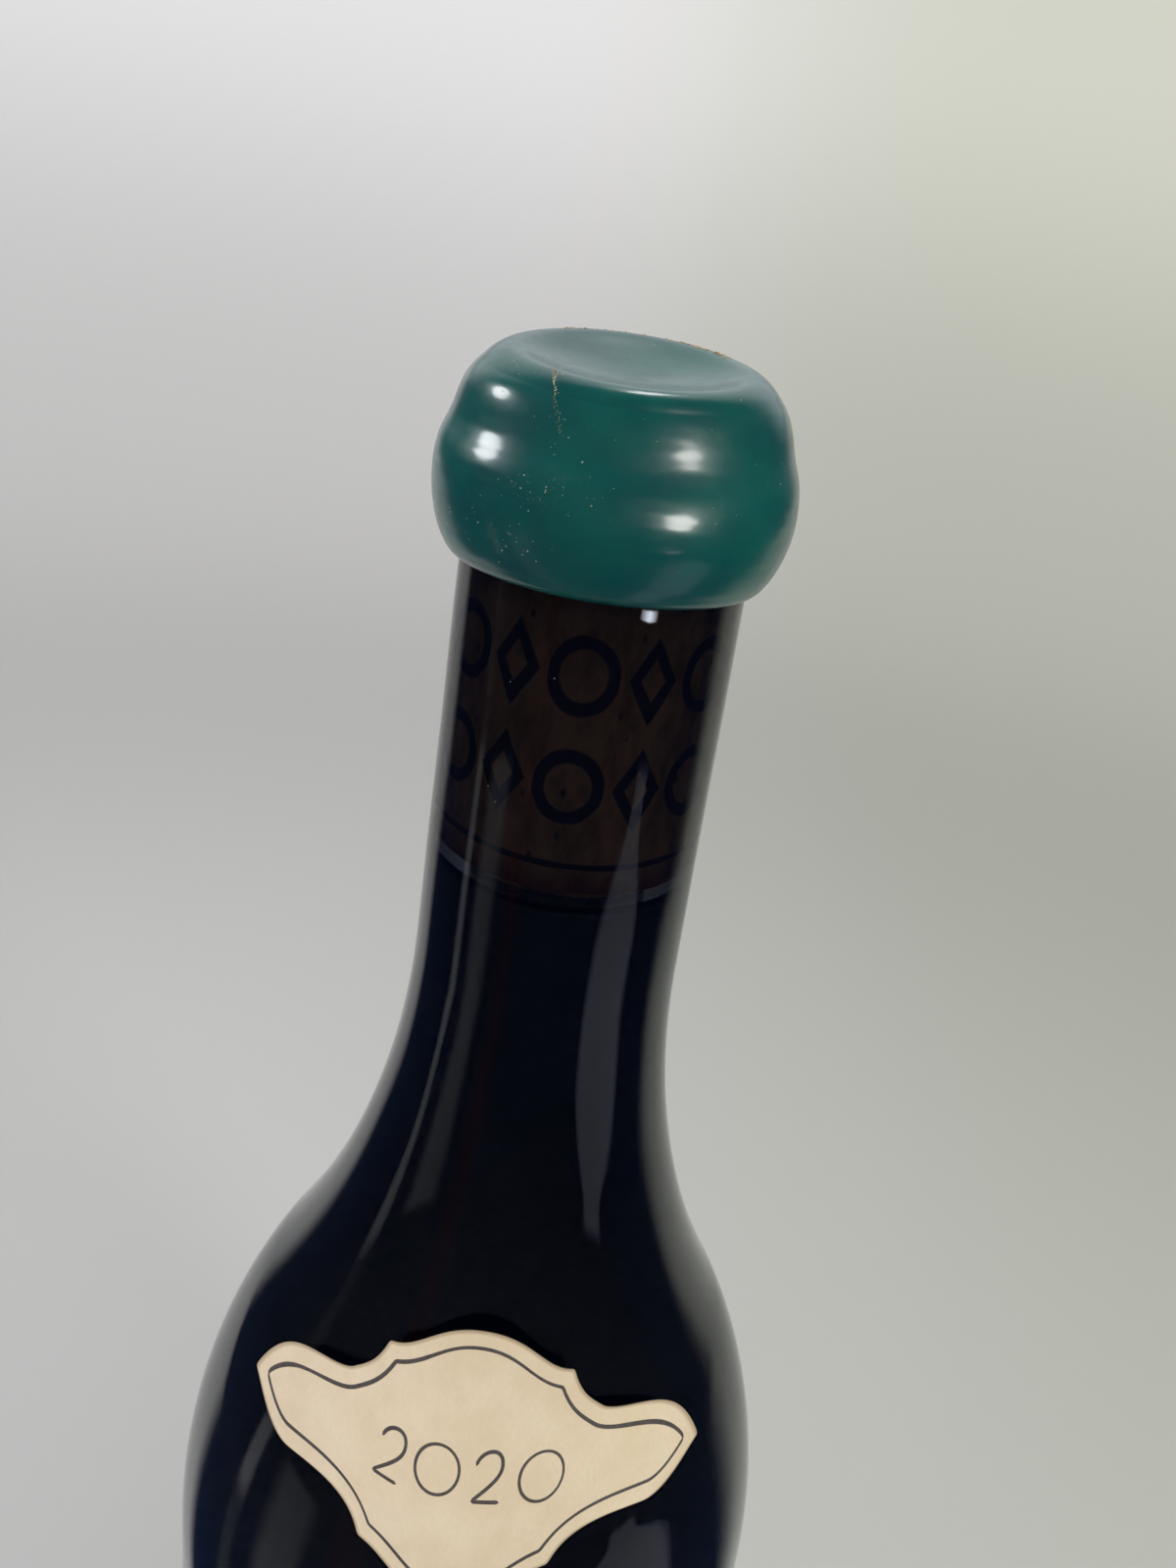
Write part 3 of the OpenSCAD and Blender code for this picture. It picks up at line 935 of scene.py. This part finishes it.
def make_bowl():
    """Pale floor that curves up into a wall all round: a flat disc, a quarter round, then an upright.
    The floor's far part and the wall glow a little, so that they stay as pale as the near floor."""
    flat_r, bend, wall_z = 900.0, 900.0, 2600.0
    profile = np.concatenate([
        line((0, 0), (flat_r, 0), 12), arc(flat_r, bend, bend, 270, 360, 24), [[flat_r + bend, wall_z]]])
    cols = 96
    rings = about(profile[:, :1], profile[:, 1:], np.arange(cols) * TAU / cols)
    rows = len(rings)
    points = np.concatenate([rings.reshape(-1, 3), [(0, 0, 0)]])
    c = np.arange(cols)
    fan = np.stack([c, (c + 1) % cols, np.full(cols, rows * cols)], 1)
    bowl = put("studio_floor", points, grid_faces(rows, cols, True)[:, ::-1], fan)

    m = Nodes("studio_paper")
    x, y, z = m.parts(m.place())
    # Painted light and shade: towards -X the floor's colour and glow are paler and cooler, towards +X darker
    # and greener.
    side_lit_colour = m.mix(m.band(x, -0.15, 0.25), (0.66, 0.655, 0.66), (0.585, 0.595, 0.555))
    m.set(Base_Color=side_lit_colour, Roughness=0.9, Specular_IOR_Level=0.1)
    m.set(Emission_Color=m.mix(m.band(x, -0.25, 0.45), (1.0, 0.98, 1.02), (0.74, 0.75, 0.63)))
    m.set(Emission_Strength=m.add(m.band(m.away(x, y), 0.5, 1.5, 0.0, 0.17), m.band(z, 0.1, 0.65, 0.0, 0.25)))
    bowl.data.materials.append(m.material)
    bowl.visible_shadow = False


def around(azimuth, elevation, distance, height):
    """A place that far from the axis point at that height. Azimuth 0 is in front and grows towards +X."""
    return Vector((
        distance * sin(azimuth) * cos(elevation), -distance * cos(azimuth) * cos(elevation),
        height + distance * sin(elevation)))


def lamp(name, azimuth, elevation, distance, size, power, colour=(1, 1, 1), height=0.293, tall=None,
         spread=180):
    """A soft lamp, turned to the neck at a height: round, or an oblong when tall is given. Spread is in
    degrees."""
    light = bpy.data.lights.new(name, "AREA")
    light.shape = "RECTANGLE" if tall else "DISK"
    light.size = size
    light.size_y = tall or size
    light.spread = np.radians(spread)
    light.energy = power
    light.color = colour
    made = bpy.data.objects.new(name, light)
    bpy.context.collection.objects.link(made)
    made.location = around(azimuth, elevation, distance, height)
    aim = Vector((0, 0, height)) - made.location
    made.rotation_euler = aim.to_track_quat("-Z", "Y").to_euler()
    made.visible_camera = False


def make_dark_room():
    """A dark screen that only reflections see, so that the glass and the wax keep their deep front.
    It is a surface of revolution: out over the floor, up a wall, then in overhead. Its material opens windows
    in it to the pale floor: a broad one at the right, a slim and a dim one at the left, and the whole of the
    back. Above the back the screen glows like a bright ceiling, which whitens the wax's dish and rim."""
    inner_r, lift, wall_r, wall_z, top_z, sides = 45, 1, 620, 800, 1150, 180
    profile = np.concatenate([
        [(inner_r, lift)], line((inner_r, lift), (wall_r, lift), 24), [(wall_r, lift)],
        line((wall_r, lift), (wall_r, wall_z), 12), [(wall_r, wall_z)],
        line((wall_r, wall_z), (0, top_z), 12), [(1, top_z)]])
    points = about(profile[:, :1], profile[:, 1:], np.arange(sides) * TAU / sides)
    room = put("dark_room", points, grid_faces(len(profile), sides, True)[:, ::-1])

    m = Nodes("dark_screen")
    x, y, z = m.parts(m.place())
    turn = m.math("DEGREES", m.turn(x, y))
    away = m.away(x, y)

    def window(middle, half, soft):
        """1 inside an upright window on the round, 0 outside."""
        return m.band(m.gap(turn, middle), half - soft, half + soft, 1, 0)

    low = m.band(z, 0.01, 0.03, 1, 0)
    taper = m.band(away, 0.42, 0.62, 17, 5)
    right = m.mul(m.band(m.math("DIVIDE", m.gap(turn, 58.0), taper), 0.8, 1.15, 0.8, 0), low)
    slim = m.mul(
        window(-79.0, 3.0, 1.5), m.mul(m.band(z, 0.01, 0.04, 0.85, 0.12), m.band(away, 0.28, 0.36, 0.15, 1)))
    dim = m.mul(m.mul(window(-57.0, 8.0, 4.0), low), 0.45)
    lean_right = m.add(m.band(away, 0.42, 0.55, 0, 7), m.band(z, 0.15, 0.3, 0, 24))
    back_right = m.band(m.sub(turn, lean_right), 98, 120)
    lean_left = m.add(m.band(away, 0.27, 0.36, 0, 17), m.band(z, 0.15, 0.3, 0, 20))
    back_left = m.band(m.add(turn, lean_left), -112, -100, 1, 0)
    opened = m.most(right, slim, dim, back_right, back_left)
    below_roof = m.band(z, 0.36, 0.42, 1, 0)
    over_back = m.mul(m.band(z, 0.34, 0.5), m.band(m.math("ABSOLUTE", turn), 115, 150))
    m.set(Alpha=m.sub(1.0, m.mul(opened, below_roof)))
    m.set(Emission_Color=(0.95, 1.0, 0.98))
    m.set(Emission_Strength=m.mul(m.mul(over_back, m.band(away, 0.1, 0.35)), 0.75))
    # Painted reflection: the screen's colour shows only in reflections, navy with a dull purple patch round
    # -34 degrees and a blue cast where the right window opens.
    tint = m.mix(window(-34.0, 5.0, 4.0), (0.012, 0.026, 0.075), (0.07, 0.03, 0.06))
    m.set(Base_Color=m.mix(right, tint, (0.3, 0.3, 1.0)), Roughness=1.0, Specular_IOR_Level=0.0)
    room.data.materials.append(m.material)
    room.visible_camera = False
    room.visible_diffuse = False
    room.visible_shadow = False
    room.visible_transmission = False


def make_world():
    """Even, slightly cool light from all round."""
    world = bpy.data.worlds.new("studio_air")
    world.use_nodes = True
    sky = world.node_tree.nodes["Background"]
    sky.inputs["Color"].default_value = (0.95, 0.97, 1.0, 1)
    sky.inputs["Strength"].default_value = 0.335
    bpy.context.scene.world = world


def make_camera():
    """A close view from in front of the neck, looking down on the shoulder, with the bottle leaning in it."""
    tilt, lean = 24.0, 8.873
    data = bpy.data.cameras.new("camera")
    data.lens = 27.0
    data.sensor_width = 36.0
    data.clip_start = 0.005
    camera = bpy.data.objects.new("camera", data)
    bpy.context.collection.objects.link(camera)
    right, up = Vector((1, 0, 0)), Vector((0, sin(tilt), cos(tilt)))
    back = Vector((0, -cos(tilt), sin(tilt)))
    leaned_right = right * cos(lean) + up * sin(lean)
    leaned_up = up * cos(lean) - right * sin(lean)
    camera.matrix_world = Matrix((leaned_right, leaned_up, back)).transposed().to_4x4()
    camera.location = (0.00182, -0.11721, (mouth_z + 13.49) * MM)
    bpy.context.scene.camera = camera


make_camera()
make_bowl()
make_world()
lamp("right_lamp", 45, 24.5, 0.5, 0.135, 1.05, (1.0, 0.98, 0.94))
lamp("left_lamp", -95, 30, 0.5, 0.145, 1.0, (0.96, 0.98, 1.0))
lamp("top_lamp", 172, 66, 0.45, 0.05, 0.3, tall=0.16)
lamp("low_lamp", 41.5, -13.7, 0.5, 0.17, 0.0003, height=0.2815, tall=0.006, spread=14)
make_dark_room()

scene = bpy.context.scene
scene.view_settings.view_transform = "Standard"
scene.view_settings.look = "None"
